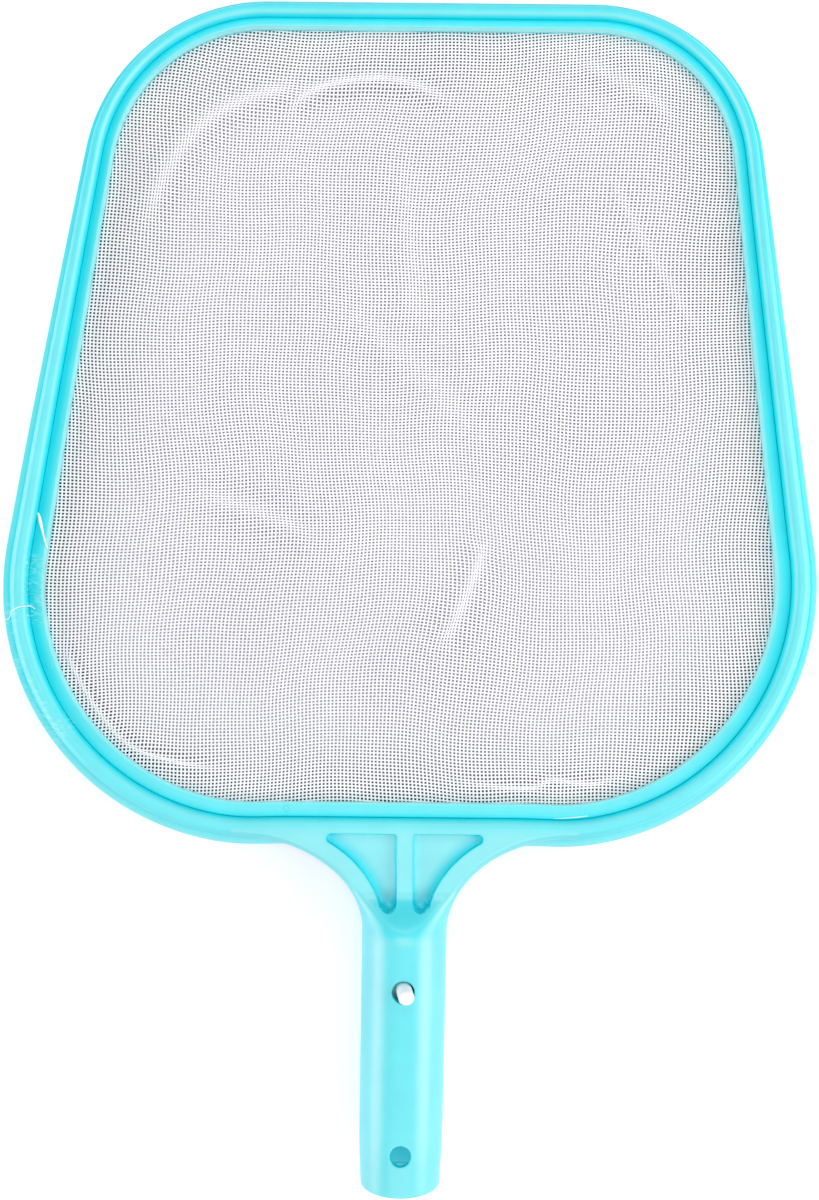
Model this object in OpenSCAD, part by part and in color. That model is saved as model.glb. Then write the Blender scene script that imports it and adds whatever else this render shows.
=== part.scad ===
// Leaf skimmer net: a flat hoop with a clamped woven net, a ribbed neck and a tubular handle that a
// telescopic pole slides over. A V-shaped spring clip inside the handle locks the pole with two buttons.
// The handle lies along Y with its open end at the origin. The net faces +Z.

/* [Hoop] */
// Overall length, from the handle's open end to the hoop's far edge
overall_length = 420; // [400:1:460]
// Distance from the handle's open end to the hoop's near edge
hoop_start = 115.6; // [114:0.1:120]
// Straight stretch of the near edge, between the near corners
near_straight = 104.4; // [98:0.2:130]
// Outer radius of the near corners
near_corner_r = 93.1; // [85:0.1:100]
// Straight stretch of the far edge, between the far corners
far_straight = 118.2; // [100:0.2:130]
// Outer radius of the far corners
far_corner_r = 64.1; // [60:0.1:75]
// Rim width from groove to outer edge along the near edge
rim_near = 9.8; // [8:0.1:12]
// Rim width from groove to outer edge along the far edge
rim_far = 7; // [5:0.1:9]
// Thickness of the hoop
hoop_thick = 8.4; // [7.6:0.1:12]
// Height of the outer flange's top face, from the middle plane
flange_z = -0.8; // [-2:0.1:0]
// Share of the rim's width that the outer flange takes
flange_share = 0.33; // [0.2:0.01:0.35]

/* [Ring and net] */
// Width of the retaining ring along the near edge
ring_near = 5.2; // [4.6:0.1:7]
// Width of the retaining ring along the far edge
ring_far = 3.4; // [3:0.1:6]
// Height of the ring's crest, beside its inner edge, above the middle plane
ring_top = 2.4; // [2:0.1:4]
// Height of the ring's top beside the groove, above the middle plane
ring_low = 1.2; // [0.8:0.1:1.8]
// Height of the ledge that the net's edge lies on, from the middle plane
ledge_z = -2.5; // [-3:0.1:-2]
// Width of the ledge as a share of the ring's width
ledge_share = 0.84; // [0.7:0.02:0.96]
// Thickness of the woven net
net_thick = 0.3; // [0.2:0.05:0.4]
// Width of one bar of the simplified lattice
net_bar = 1.2; // [0.8:0.1:2]
// Bars across the hoop's width
net_columns = 14; // [8:1:14]
// Bars along the hoop's length
net_rows = 18; // [10:1:18]

/* [Neck] */
// Half thickness of the web left between the front and back recesses
web_half = 1.5; // [1:0.1:2.5]
// Width of the centre rib between the recesses
rib_width = 5.8; // [4:0.1:8]
// Width of the wall between a recess and the neck's side
neck_wall = 7.6; // [6:0.1:9]
// Sideways reach of the flare from the handle to the hoop
flare_x = 35; // [30:0.5:38]

/* [Handle] */
// Length of the handle tube
handle_length = 86; // [84:0.5:88]
// Outer radius of the straight stretch that the pole slides over
spigot_r = 14.2; // [13.8:0.05:14.4]
// Length of that straight stretch
spigot_length = 60; // [50:1:62]
// Outer radius where the handle meets the neck
handle_top_r = 14.65; // [14.5:0.05:14.8]
// Radius of the handle's bore
bore_r = 12.2; // [12:0.05:12.4]
// Depth of the bore
bore_depth = 82; // [80:0.5:83]
// Distance of the free cross hole from the open end
lower_hole_y = 13.2; // [11:0.1:16]
// Radius of the free cross hole
lower_hole_r = 3.6; // [3:0.1:4]
// Distance of the button holes from the open end
button_hole_y = 68.2; // [67:0.1:69]
// Radius of the button holes
button_hole_r = 3.7; // [3.7:0.05:4]

/* [Spring clip] */
// Width of the clip's strip
clip_width = 7.5; // [6:0.1:8]
// Thickness of the clip's strip
clip_thick = 1.6; // [1.4:0.1:1.8]
// Distance of the clip's bends from the open end
bend_y = 24; // [22:0.5:28]
// Half the distance between the two bends
bend_z = 2.6; // [2.4:0.1:3]
// Angle between an arm and the handle's axis
arm_angle = 9; // [8.5:0.1:9.2]
// Extra lean of a button on its arm, towards the open end
button_lean = 5; // [3:0.5:6]
// Radius of the buttons
button_r = 2.55; // [2.4:0.05:2.6]
// Distance of a button's tip from the handle's axis
button_reach = 18.7; // [17:0.1:19]
// Turn of the clip about the handle's axis, taken up in the play of the holes
clip_roll = 2.5; // [-2.5:0.5:2.5]

/* [Hidden] */
turquoise = [0.45, 0.92, 0.96];
nylon_white = [0.96, 0.96, 0.95];
half_thick = hoop_thick / 2;
near_centre = [near_straight / 2, hoop_start + near_corner_r];
far_centre = [far_straight / 2, overall_length - far_corner_r];
groove_near_r = near_corner_r - rim_near;
groove_far_r = far_corner_r - rim_far;
near_steps = 18;
far_steps = 14;
dome_steps = 8;
bottom_round = 1.2;
dome_height = 3.6;
ring_gap_share = 0.03;
crest_share = 0.86;
crest_round = 0.6;
crest_steps = 3;
net_margin = 0.4;
flare_y = hoop_start - handle_length;
neck_edge_r = 2.6;
flange_width = rim_near * flange_share;
flange_edge = 0.5;
flange_lip = 0.04;
flange_slope = 0.2;
ramp_length = 13;
neck_steps = 15;
corner_steps = 8;
neck_end = hoop_start + 4.5;
band_start = handle_length + 4;
band_growth = 14;
point_gap = 0.01;
recess_top = neck_end + 0.1;
recess_tip = 93.8;
recess_tip_r = 2.4;
recess_steps = 9;
edge_chamfer = 0.4;
hinge_clearance = 0.05;
button_shift = 0.3;
button_round = 0.9;
arm_tail = 4;
total_lean = arm_angle + button_lean;
wall_middle = (spigot_r + bore_r) / 2;
fine = 96;

// Points of a belt drawn tight round the four corner circles, anticlockwise from the near edge
function belt(near_r, far_r) =
    let (
        line = far_centre - near_centre,
        tangent = atan2(line.y, line.x) - acos((near_r - far_r) / norm(line)),
        near_arc = [
            for (i = [0:near_steps])
                let (a = -90 + (tangent + 90) * i / near_steps)
                near_centre + near_r * [cos(a), sin(a)]
        ],
        far_arc = [
            for (i = [0:far_steps])
                let (a = tangent + (90 - tangent) * i / far_steps)
                far_centre + far_r * [cos(a), sin(a)]
        ],
        right = concat(near_arc, far_arc),
        count = len(right)
    )
    concat(right, [for (i = [1:count]) [-right[count - i].x, right[count - i].y]]);

// One corner of a hoop section: share 0 is the groove and 1 the outer edge
function across_rim(share, z) = [groove_near_r + share * rim_near, groove_far_r + share * rim_far, z];

// One corner of a section inside the groove: share 0 is the groove and 1 the ring's inner edge
function across_ring(share, z) = [groove_near_r - share * ring_near, groove_far_r - share * ring_far, z];

// Half an ellipse of section corners, from one share of the rim to another
function rim_dome(from, to, foot_z, height) = [
    for (i = [0:dome_steps])
        let (a = 180 * i / dome_steps)
        across_rim((from + to) / 2 + (from - to) / 2 * cos(a), foot_z + height * sin(a))
];

// The hoop's section: ledge, rounded bottom edge, outer flange and rounded bead
hoop_section = concat(
    [
        across_ring(ledge_share, -half_thick),
        across_rim(0, -half_thick),
        across_rim(1 - bottom_round / rim_near, -half_thick),
        across_rim(1, -half_thick + bottom_round),
        across_rim(1, flange_z - flange_edge),
        across_rim(1 - flange_lip, flange_z),
        across_rim(1 - flange_share, flange_z + flange_slope)
    ],
    rim_dome(1 - flange_share, 0, half_thick - dome_height, dome_height),
    [
        across_rim(0, ledge_z),
        across_ring(ledge_share, ledge_z)
    ]
);

// The ring's section: flat underneath, and rising from the groove to a crest beside its upright inner wall
ring_section = concat(
    [across_ring(ring_gap_share, ledge_z + net_thick)],
    [
        for (i = [0:dome_steps])
            let (t = i / dome_steps)
            across_ring(mix(ring_gap_share, crest_share, t), mix(ring_low, ring_top, sin(90 * t)))
    ],
    [
        for (i = [1:crest_steps])
            let (a = 90 * i / crest_steps)
            across_ring(mix(crest_share, 1, sin(a)), ring_top - crest_round * (1 - cos(a)))
    ],
    [across_ring(1, ledge_z + net_thick)]
);

// A closed solid whose section runs round the belt. A section lists its corners anticlockwise, seen
// with the outer edge to the right
module belt_solid(section) {
    loops = [for (s = section) [for (p = belt(s[0], s[1])) [p.x, p.y, s[2]]]];
    rows = len(section);
    stations = len(loops[0]);
    faces = [
        for (k = [0:rows - 1], i = [0:stations - 1])
            let (
                k2 = (k + 1) % rows,
                i2 = (i + 1) % stations,
                a = k * stations + i,
                b = k * stations + i2,
                c = k2 * stations + i2,
                d = k2 * stations + i
            )
            each [[a, c, b], [a, d, c]]
    ];
    polyhedron(points = [for (loop = loops) each loop], faces = faces, convexity = 6);
}

module hoop() {
    color(turquoise)
        belt_solid(hoop_section);
}

module retaining_ring() {
    color(turquoise)
        belt_solid(ring_section);
}

// Edge band under the ring, and bars that stand for the weave
module net() {
    band_outer = belt(groove_near_r - net_margin, groove_far_r - net_margin);
    ledge_edge = across_ring(ledge_share, ledge_z);
    band_inner = belt(ledge_edge[0], ledge_edge[1]);
    low_y = near_centre.y - groove_near_r;
    high_y = far_centre.y + groove_far_r;
    half_width = near_centre.x + groove_near_r;
    color(nylon_white)
        translate([0, 0, ledge_z])
            linear_extrude(net_thick) {
                difference() {
                    polygon(band_outer);
                    polygon(band_inner);
                }
                intersection() {
                    polygon(band_outer);
                    union() {
                        for (i = [1:net_columns])
                            translate([-half_width + 2 * half_width * i / (net_columns + 1) - net_bar / 2, low_y])
                                square([net_bar, high_y - low_y]);
                        for (i = [1:net_rows])
                            translate([-half_width, low_y + (high_y - low_y) * i / (net_rows + 1) - net_bar / 2])
                                square([2 * half_width, net_bar]);
                    }
                }
            }
}

function smooth(t) = t * t * (3 - 2 * t);
function mix(from, to, t) = from + (to - from) * t;
function limited(t) = max(0, min(1, t));

// Right half of the neck's section at one station, from the bottom up: round lower corner, the flange's
// edge and top, and a round upper corner set in by the flange's width
function neck_side(half_w, half_h, flange, ramp) =
    let (
        round_r = handle_top_r - 2 * point_gap,
        low_r = mix(round_r, bottom_round, ramp),
        high_r = mix(round_r, neck_edge_r, ramp)
    )
    concat(
        [
            for (i = [0:corner_steps])
                let (a = -90 + 90 * i / corner_steps)
                [half_w - low_r + low_r * cos(a), -half_h + low_r + low_r * sin(a)]
        ],
        [
            [half_w, mix(-point_gap, flange_z - flange_edge, ramp)],
            [half_w - flange * flange_lip / flange_share, mix(0, flange_z, ramp)],
            [half_w - flange, mix(point_gap, flange_z + flange_slope, ramp)]
        ],
        [
            for (i = [0:corner_steps])
                let (a = 90 * i / corner_steps)
                [half_w - flange - high_r + high_r * cos(a), half_h - high_r + high_r * sin(a)]
        ]
    );

// A whole section, closed over to the left half
function neck_loop(y, side) =
    let (count = len(side))
    concat(
        [for (p = side) [p.x, y, p.y]],
        [for (i = [1:count]) [-side[count - i].x, y, side[count - i].y]]
    );

// Sideways reach of the neck's outline at a distance along the handle, a quarter ellipse grown by inset
function flare(y, inset) =
    let (share = limited((y - handle_length) / (flare_y + inset)))
    handle_top_r + flare_x - (flare_x + inset) * sqrt(1 - share * share);

// Stations of the neck. The plateau's edge is the inset ellipse, which ends along the hoop's bead, and the
// flange fades out towards the handle. The last station runs on over the bead
neck_loops = [
    for (k = [0:neck_steps])
        let (
            y = k == neck_steps
                ? neck_end
                : handle_length + (flare_y + flange_width) * sin(90 * k / (neck_steps - 1)),
            ramp = smooth(limited((y - handle_length) / ramp_length)),
            outer = flare(y, 0),
            flange = (outer - flare(y, flange_width)) * smooth(limited((y - band_start) / band_growth))
        )
        neck_loop(y, neck_side(outer, mix(handle_top_r, half_thick, ramp), flange, ramp))
];

// Plan of one recess: rib side, round tip and a curve that follows the neck's side
function recess_plan() =
    let (
        centre = [handle_top_r + flare_x, handle_length],
        rx = flare_x + neck_wall,
        ry = flare_y + neck_wall,
        inner_x = rib_width / 2,
        tip = [inner_x + recess_tip_r, recess_tip + recess_tip_r],
        start = asin((tip.y - centre.y) / ry),
        end = asin((recess_top - 1.6 - centre.y) / ry)
    )
    concat(
        [[inner_x, recess_top]],
        [for (i = [0:recess_steps]) let (a = 180 + 150 * i / recess_steps) tip + recess_tip_r * [cos(a), sin(a)]],
        [
            for (i = [1:recess_steps])
                let (a = start + (end - start) * i / recess_steps)
                centre + [-rx * cos(a), ry * sin(a)]
        ],
        [[centre.x - rx * cos(end) + 0.4, recess_top - 0.5], [centre.x - rx * cos(end) - 0.6, recess_top]]
    );

module neck() {
    stations = len(neck_loops);
    around = len(neck_loops[0]);
    sides = [
        for (k = [0:stations - 2], i = [0:around - 1])
            let (
                i2 = (i + 1) % around,
                a = k * around + i,
                b = k * around + i2,
                c = (k + 1) * around + i2,
                d = (k + 1) * around + i
            )
            each [[a, b, c], [a, c, d]]
    ];
    near_cap = [for (i = [1:around - 2]) [0, i + 1, i]];
    last = (stations - 1) * around;
    far_cap = [for (i = [1:around - 2]) [last, last + i, last + i + 1]];
    color(turquoise)
        difference() {
            polyhedron(
                points = [for (loop = neck_loops) each loop],
                faces = concat(sides, near_cap, far_cap),
                convexity = 6
            );
            // the straight bar of the hoop, which the neck meets face to face
            rotate([90, 0, 90])
                linear_extrude(2 * near_straight, center = true)
                    polygon([for (s = hoop_section) [near_centre.y - s[0], s[2]]]);
            for (side = [-1, 1], face = [0, 1])
                mirror([side < 0 ? 1 : 0, 0, 0])
                    mirror([0, 0, face])
                        translate([0, 0, web_half])
                            linear_extrude(handle_top_r)
                                polygon(recess_plan());
        }
}

module cross_hole(y, r) {
    translate([0, y, 0])
        cylinder(h = 4 * spigot_r, r = r, center = true, $fn = fine);
}

module handle() {
    color(turquoise)
        difference() {
            rotate([-90, 0, 0])
                rotate_extrude($fn = fine)
                    polygon([
                        [0, bore_depth],
                        [bore_r, bore_depth],
                        [bore_r, edge_chamfer],
                        [bore_r + edge_chamfer, 0],
                        [spigot_r - edge_chamfer, 0],
                        [spigot_r, edge_chamfer],
                        [spigot_r, spigot_length],
                        [handle_top_r, handle_length],
                        [0, handle_length]
                    ]);
            cross_hole(lower_hole_y, lower_hole_r);
            cross_hole(button_hole_y, button_hole_r);
        }
}

// Draws a profile given in the handle's middle plane, as [y, z], as wide as the clip's strip
module clip_strip() {
    rotate([90, 0, 90])
        linear_extrude(clip_width, center = true)
            children();
}

// The bend of the clip: half a turn and two short legs, each hollowed to seat an arm's round root
module clip_bend() {
    inner = bend_z - clip_thick / 2;
    outer = bend_z + clip_thick / 2;
    color(nylon_white)
        rotate([0, clip_roll, 0])
            clip_strip()
                difference() {
                    union() {
                        intersection() {
                            translate([bend_y - 2, 0])
                                circle(r = outer, $fn = fine);
                            translate([bend_y - 2 - 2 * outer, -outer])
                                square([2 * outer, 2 * outer]);
                        }
                        translate([bend_y - 2, -outer])
                            square([2, 2 * outer]);
                    }
                    translate([bend_y - 2, 0])
                        circle(r = inner, $fn = fine);
                    translate([bend_y - 2, -inner])
                        square([4, 2 * inner]);
                    for (side = [-1, 1])
                        translate([bend_y, side * bend_z])
                            circle(r = clip_thick / 2 + hinge_clearance, $fn = fine);
                }
}

// One arm with its button, springing outwards along +Z
module clip_arm() {
    base_z = bend_z + (button_hole_y - bend_y) * tan(arm_angle);
    base_y = button_hole_y + button_shift + (wall_middle - base_z) * tan(total_lean);
    arm_length = (base_y - bend_y) / cos(arm_angle);
    button_z = bend_z + arm_length * sin(arm_angle);
    button_length = (button_reach - button_z) / cos(total_lean);
    clip_strip() {
        translate([bend_y, bend_z])
            circle(r = clip_thick / 2, $fn = fine);
        translate([bend_y, bend_z])
            rotate(arm_angle)
                translate([0, -clip_thick / 2])
                    square([arm_length + arm_tail, clip_thick]);
    }
    translate([0, base_y, button_z])
        rotate([total_lean, 0, 0])
            rotate_extrude($fn = fine)
                polygon(concat(
                    [[0, 0], [button_r, 0]],
                    [
                        for (i = [0:5])
                            let (a = 90 * i / 5)
                            [
                                button_r - button_round + button_round * cos(a),
                                button_length - button_round + button_round * sin(a)
                            ]
                    ],
                    [[0, button_length]]
                ));
}

module clip_arm_front() {
    color(nylon_white)
        rotate([0, clip_roll, 0])
            clip_arm();
}

module clip_arm_rear() {
    color(nylon_white)
        rotate([0, clip_roll, 0])
            mirror([0, 0, 1])
                clip_arm();
}

hoop();
neck();
handle();
retaining_ring();
net();
clip_bend();
clip_arm_front();
clip_arm_rear();
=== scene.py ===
"""A leaf skimmer net: a turquoise hoop with a ribbed neck and a tubular handle, a ring that
clamps the woven net, and a white spring clip whose buttons stand out of the handle.

Lengths are millimetres unless a comment says otherwise, and become metres when a mesh is made.
"""

import bmesh
import bpy
import numpy as np
from mathutils import Matrix, Vector


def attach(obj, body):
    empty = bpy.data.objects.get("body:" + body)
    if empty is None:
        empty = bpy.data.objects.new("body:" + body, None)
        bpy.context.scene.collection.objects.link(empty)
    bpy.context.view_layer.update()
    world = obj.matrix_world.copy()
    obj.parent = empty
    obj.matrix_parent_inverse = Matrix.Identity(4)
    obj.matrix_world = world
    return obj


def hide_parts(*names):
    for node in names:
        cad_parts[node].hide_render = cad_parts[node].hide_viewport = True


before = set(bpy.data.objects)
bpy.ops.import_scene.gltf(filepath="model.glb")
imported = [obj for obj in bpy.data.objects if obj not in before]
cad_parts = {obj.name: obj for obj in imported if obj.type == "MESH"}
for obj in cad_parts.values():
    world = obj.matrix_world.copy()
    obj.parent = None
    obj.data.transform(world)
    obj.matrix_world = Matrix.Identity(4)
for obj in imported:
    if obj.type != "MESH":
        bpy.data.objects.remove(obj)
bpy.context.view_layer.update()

MM = 0.001

# The hoop's plan: four corner circles with a belt drawn round them
NEAR_CENTRE = np.array([52.2, 208.78])
FAR_CENTRE = np.array([59.07, 356.0])
GROOVE_NEAR_R = 83.34
GROOVE_FAR_R = 57.13
RIM_NEAR = 9.8
RIM_FAR = 7.0
HALF_THICK = 4.2
EDGE_ROUND = 1.2
FLANGE_Z = -0.8
FLANGE_SHARE = 0.33
CROWN_SHARE = 0.335
BEAD_FOOT_Z = 0.8
BEAD_DOME = 3.4
GROOVE_Z = 1.1
LEDGE_Z = -2.5
LEDGE_SHARE = 0.84

# The retaining ring
RING_NEAR = 5.2
RING_FAR = 3.4
RING_LOW = 1.2
RING_TOP = 1.55
CREST_SHARE = 0.88
RING_FOOT_Z = -2.2

# The neck
HOOP_START = 115.6
WALL_Y = HOOP_START + RIM_NEAR * FLANGE_SHARE
CROWN_Y = NEAR_CENTRE[1] - GROOVE_NEAR_R - CROWN_SHARE * RIM_NEAR
NECK_END = CROWN_Y + 0.05
FLARE_X = 46.2
FLARE_POWER = 1.97
RAMP = 15.0
RECESS_FLOOR = 1.5
RECESS_TOP = 120.1
RIB_HALF = 2.9

# The handle
HANDLE_LENGTH = 86.0
HANDLE_END = -1.0
HANDLE_TOP_R = 14.86
# The tube's outer radius along its length: a lead-in at the open end, then a slight taper
TUBE_Y = (-1.0, 5.5, 10.5, 15.5, 25.5, 40.0, 60.0, 80.0)
TUBE_R = (13.8, 14.1, 14.36, 14.5, 14.6, 14.68, 14.8, 14.86)
BORE_R = 12.2
BORE_DEPTH = 82.0
LOWER_HOLE = (13.2, 3.55)
BUTTON_HOLE = (68.2, 3.8)

# The spring clip's arms
CLIP_WIDTH = 7.5
CLIP_THICK = 1.6
BEND_Y = 24.0
BEND_Z = 2.6
ARM_ANGLE = np.radians(9.0)
BUTTON_LEAN = np.radians(14.0)
BUTTON_R = 2.7
BUTTON_REACH = 18.7
ARM_TWIST = np.radians(9.5)
BUTTON_DRIFT = -0.25


def smooth(t):
    """An S-shaped step from 0 to 1."""
    t = np.clip(t, 0.0, 1.0)
    return t * t * (3 - 2 * t)


def mix(a, b, t):
    """Straight blend from a to b."""
    return a + (b - a) * t


def bell(t):
    """A bell-shaped bump, 1 at 0 and almost gone at 2."""
    return np.exp(-(t**2))


# How the moulding came out askew. The far end's shift is RACK_SHIFT plus RACK_BOW.
RACK_START, RACK_RUN = 118.0, 302.0
RACK_SHIFT, RACK_BOW = 1.63, 5.07
FULLER_SHARE = 0.002
CORNER_DROP = 0.59
HANDLE_LEAN = 0.0085


def leaning(y):
    """Sideways lean of the handle and the neck, nothing at the buttons and at the hoop."""
    return HANDLE_LEAN * (y - 68.0) * (1 - smooth((y - 100.0) / 14.0))


def racked(points):
    """Sets the moulding askew: the hoop leans a little to the right towards its far end, its
    corners stand slightly fuller than drawn, and the handle leans the other way."""
    x, y = points[..., 0], points[..., 1]
    s = np.clip((y - RACK_START) / RACK_RUN, 0, None)
    fuller = FULLER_SHARE * smooth(s * 6) * (1 - 0.85 * bell((y - 222) / 32))
    corner = CORNER_DROP * bell((y - 130) / 32) * smooth((np.abs(x) - 38) / 30)
    out = points.copy()
    out[..., 0] = x * (1 + fuller) + RACK_SHIFT * s + RACK_BOW * s * s + leaning(y)
    out[..., 1] = y - corner
    return out


# ---------------------------------------------------------------- meshes


def weld(points, faces):
    """Merges points that lie within a ten-thousandth of a millimetre. A quad that loses a corner
    becomes a triangle, and one that loses two goes."""
    keys = np.round(points, 4) + 0.0
    _, first, back = np.unique(keys, axis=0, return_index=True, return_inverse=True)
    back = back.reshape(-1)
    kept = []
    for group in faces:
        group = back[group]
        if group.shape[1] != 4:
            if len(group) == 1:
                ring = group[0]
                group = ring[ring != np.roll(ring, 1)][None]
            kept.append(group)
            continue
        apart = (np.diff(np.sort(group, axis=1), axis=1) > 0).sum(1) + 1
        kept.append(group[apart == 4])
        three = group[apart == 3]
        same = three == np.roll(three, -1, axis=1)
        three = three[same.any(1)]
        start = np.argmax(three == np.roll(three, -1, axis=1), axis=1)
        pick = (start[:, None] + 1 + np.arange(3)) % 4
        kept.append(np.take_along_axis(three, pick, axis=1))
    return points[first], [g for g in kept if len(g)]


def make_mesh(name, points, faces, mend=False, sharp=None, normals=None):
    """A mesh object from points in millimetres and groups of faces with equal numbers of corners.
    normals gives the direction that each point is shaded by."""
    mesh = bpy.data.meshes.new(name)
    mesh.vertices.add(len(points))
    mesh.vertices.foreach_set("co", (points * MM).astype(np.float32).ravel())
    corners = np.concatenate([g.ravel() for g in faces])
    counts = np.concatenate([np.full(len(g), g.shape[1]) for g in faces])
    mesh.loops.add(len(corners))
    mesh.loops.foreach_set("vertex_index", corners.astype(np.int32))
    mesh.polygons.add(len(counts))
    starts = np.concatenate([[0], np.cumsum(counts)[:-1]])
    mesh.polygons.foreach_set("loop_start", starts.astype(np.int32))
    mesh.update(calc_edges=True)
    mesh.validate()
    if mend:
        shape = bmesh.new()
        shape.from_mesh(mesh)
        bmesh.ops.recalc_face_normals(shape, faces=shape.faces)
        shape.to_mesh(mesh)
        shape.free()
    mesh.polygons.foreach_set("use_smooth", np.ones(len(mesh.polygons), bool))
    if normals is not None:
        mesh.normals_split_custom_set_from_vertices(normals.astype(np.float32))
    if sharp is not None:
        mesh.set_sharp_from_angle(angle=np.radians(sharp))
    piece = bpy.data.objects.new(name, mesh)
    bpy.context.scene.collection.objects.link(piece)
    return piece


def grid_faces(rows, columns, wrap_rows=False, wrap_columns=False):
    """Quads between neighbours of a rows by columns grid of points."""
    r = np.arange(rows if wrap_rows else rows - 1)[:, None]
    c = np.arange(columns if wrap_columns else columns - 1)[None, :]
    r2, c2 = (r + 1) % rows, (c + 1) % columns
    corners = [r * columns + c, r * columns + c2, r2 * columns + c2, r2 * columns + c]
    return np.stack(corners, -1).reshape(-1, 4)


def outward(points, faces):
    """Turns every face over if the closed shape's signed volume is negative."""
    volume = 0.0
    for group in faces:
        a = points[group[:, 0]]
        for k in range(1, group.shape[1] - 1):
            b, c = points[group[:, k]], points[group[:, k + 1]]
            volume += np.einsum("ij,ij->i", a, np.cross(b, c)).sum()
    return [g[:, ::-1] for g in faces] if volume < 0 else faces


def tube_faces(rings, around):
    """Faces of a closed tube through rings of points, with one face over each end."""
    end = np.arange(around)[None]
    return [grid_faces(rings, around, False, True), end[:, ::-1], end + (rings - 1) * around]


def capped(grid):
    """A closed tube through a grid of rings by points."""
    points = grid.reshape(-1, 3)
    return points, outward(points, tube_faces(*grid.shape[:2]))


def turned(profile, start, axis):
    """A closed surface of revolution of a profile of (radius, distance) about an axis from a start
    point. The profile begins and ends on the axis, where triangles seal it."""
    corners = 48
    axis = axis / np.linalg.norm(axis)
    side = np.cross(axis, [0.0, 1.0, 0.0])
    side /= np.linalg.norm(side)
    front = np.cross(axis, side)
    a = 2 * np.pi * np.arange(corners) / corners
    ring = np.cos(a)[:, None] * side + np.sin(a)[:, None] * front
    profile = np.asarray(profile)
    grid = start + profile[:, 1, None, None] * axis + profile[:, 0, None, None] * ring
    points, faces = weld(grid.reshape(-1, 3), [grid_faces(len(profile), corners, False, True)])
    return points, outward(points, faces)


def store(piece, name, values):
    """Stores a number or a vector for each vertex under a name that a material can read."""
    kind, key = ("FLOAT", "value") if values.ndim == 1 else ("FLOAT_VECTOR", "vector")
    layer = piece.data.attributes.new(name, kind, "POINT")
    layer.data.foreach_set(key, values.astype(np.float32).ravel())


def away_from(path, points):
    """Step to each point in the plane from the nearest spot on a chain of straight steps, and how
    far along the chain that spot lies, from 0 to 1."""
    best = np.full((len(points), 2), np.inf)
    along = np.zeros(len(points))
    for k, (start, step) in enumerate(zip(path[:-1], np.diff(path, axis=0))):
        away = points - start
        t = np.clip(away @ step / max(step @ step, 1e-12), 0, 1)
        away = away - t[:, None] * step
        closer = (away**2).sum(1) < (best**2).sum(1)
        best[closer] = away[closer]
        along[closer] = (k + t[closer]) / (len(path) - 1)
    return best, along


def distance_to(path, points):
    """Distance from each point in the plane to the nearest spot on a chain of straight steps."""
    return np.hypot(*away_from(path, points)[0].T)


def inside(path, points):
    """Whether each point in the plane lies inside a closed chain, by counting crossings."""
    within = np.zeros(len(points), bool)
    x, y = points.T
    for (ax, ay), (bx, by) in zip(path, np.roll(path, -1, axis=0)):
        if ay != by:
            across = ax + (y - ay) * (bx - ax) / (by - ay)
            within ^= ((ay > y) != (by > y)) & (x < across)
    return within


def depth_inside(outline, points):
    """Distance of each point in the plane from a closed chain, negative outside it."""
    off = distance_to(np.concatenate([outline, outline[:1]]), points)
    return np.where(inside(outline, points), off, -off)


def arc(centre, radius, start, end, steps):
    """Points of a circle's arc between two angles in degrees."""
    a = np.radians(np.linspace(start, end, steps + 1))
    return np.stack([centre[0] + radius * np.cos(a), centre[1] + radius * np.sin(a)], -1)


# ---------------------------------------------------------------- belt


def belt_stations(edge_x, near_steps, side_steps, far_steps, far_edge_steps):
    """Stations round the right half of the belt, as centre x and y, weight of the near radius, and
    the constant and tangent parts of the angle. edge_x are the stations along the near edge."""

    def shares(steps):
        return [i / steps for i in range(1, steps + 1)]

    rows = [(x, NEAR_CENTRE[1], 1.0, -90.0, 0.0) for x in edge_x]
    rows += [(*NEAR_CENTRE, 1.0, -90.0 * (1 - t), t) for t in shares(near_steps)]
    rows += [(*mix(NEAR_CENTRE, FAR_CENTRE, t), 1.0 - t, 0.0, 1.0) for t in shares(side_steps)]
    rows += [(*FAR_CENTRE, 0.0, 90.0 * t, 1.0 - t) for t in shares(far_steps)]
    far_x, far_y = FAR_CENTRE
    rows += [(far_x * (1 - t), far_y, 0.0, 90.0, 0.0) for t in shares(far_edge_steps)]
    return np.array(rows)


def belt(stations, near_r, far_r):
    """Points of the closed belt, stations by section corners. Each corner's belt is drawn round
    the near circles at near_r and the far circles at far_r, and mirrored to the left."""
    cx, cy, weight, fixed, turning = (stations[:, k][:, None] for k in range(5))
    line = FAR_CENTRE - NEAR_CENTRE
    lean = np.arccos((near_r - far_r) / np.hypot(*line))
    tangent = np.degrees(np.arctan2(line[1], line[0]) - lean)
    angle = np.radians(fixed + turning * tangent)
    r = weight * near_r + (1 - weight) * far_r
    right = np.stack([cx + r * np.cos(angle), cy + r * np.sin(angle)], -1)
    left = right[1:-1][::-1] * [-1, 1]
    return np.concatenate([right, left])


def outline_inside(near_in, far_in):
    """A closed outline that lies the given distances inside the groove's corner circles."""
    plan = belt_stations([0.0, NEAR_CENTRE[0]], 24, 1, 20, 1)
    return belt(plan, np.array([GROOVE_NEAR_R - near_in]), np.array([GROOVE_FAR_R - far_in]))[:, 0]


def section_radii(section):
    """Near and far radii of a section listed as (kind, share, z, deep): rim is a share of the rim's
    width outward of the groove, and ring a share of the ring's width inward of it. deep is the
    painted shade (positive) or painted light (negative) in the colour, or three such values for the
    near edge, the sides and the far edge."""
    wide = {"rim": (RIM_NEAR, RIM_FAR), "ring": (-RING_NEAR, -RING_FAR)}
    reach = np.array([[share * step for step in wide[kind]] for kind, share, *_ in section])
    return GROOVE_NEAR_R + reach[:, 0], GROOVE_FAR_R + reach[:, 1]
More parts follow.
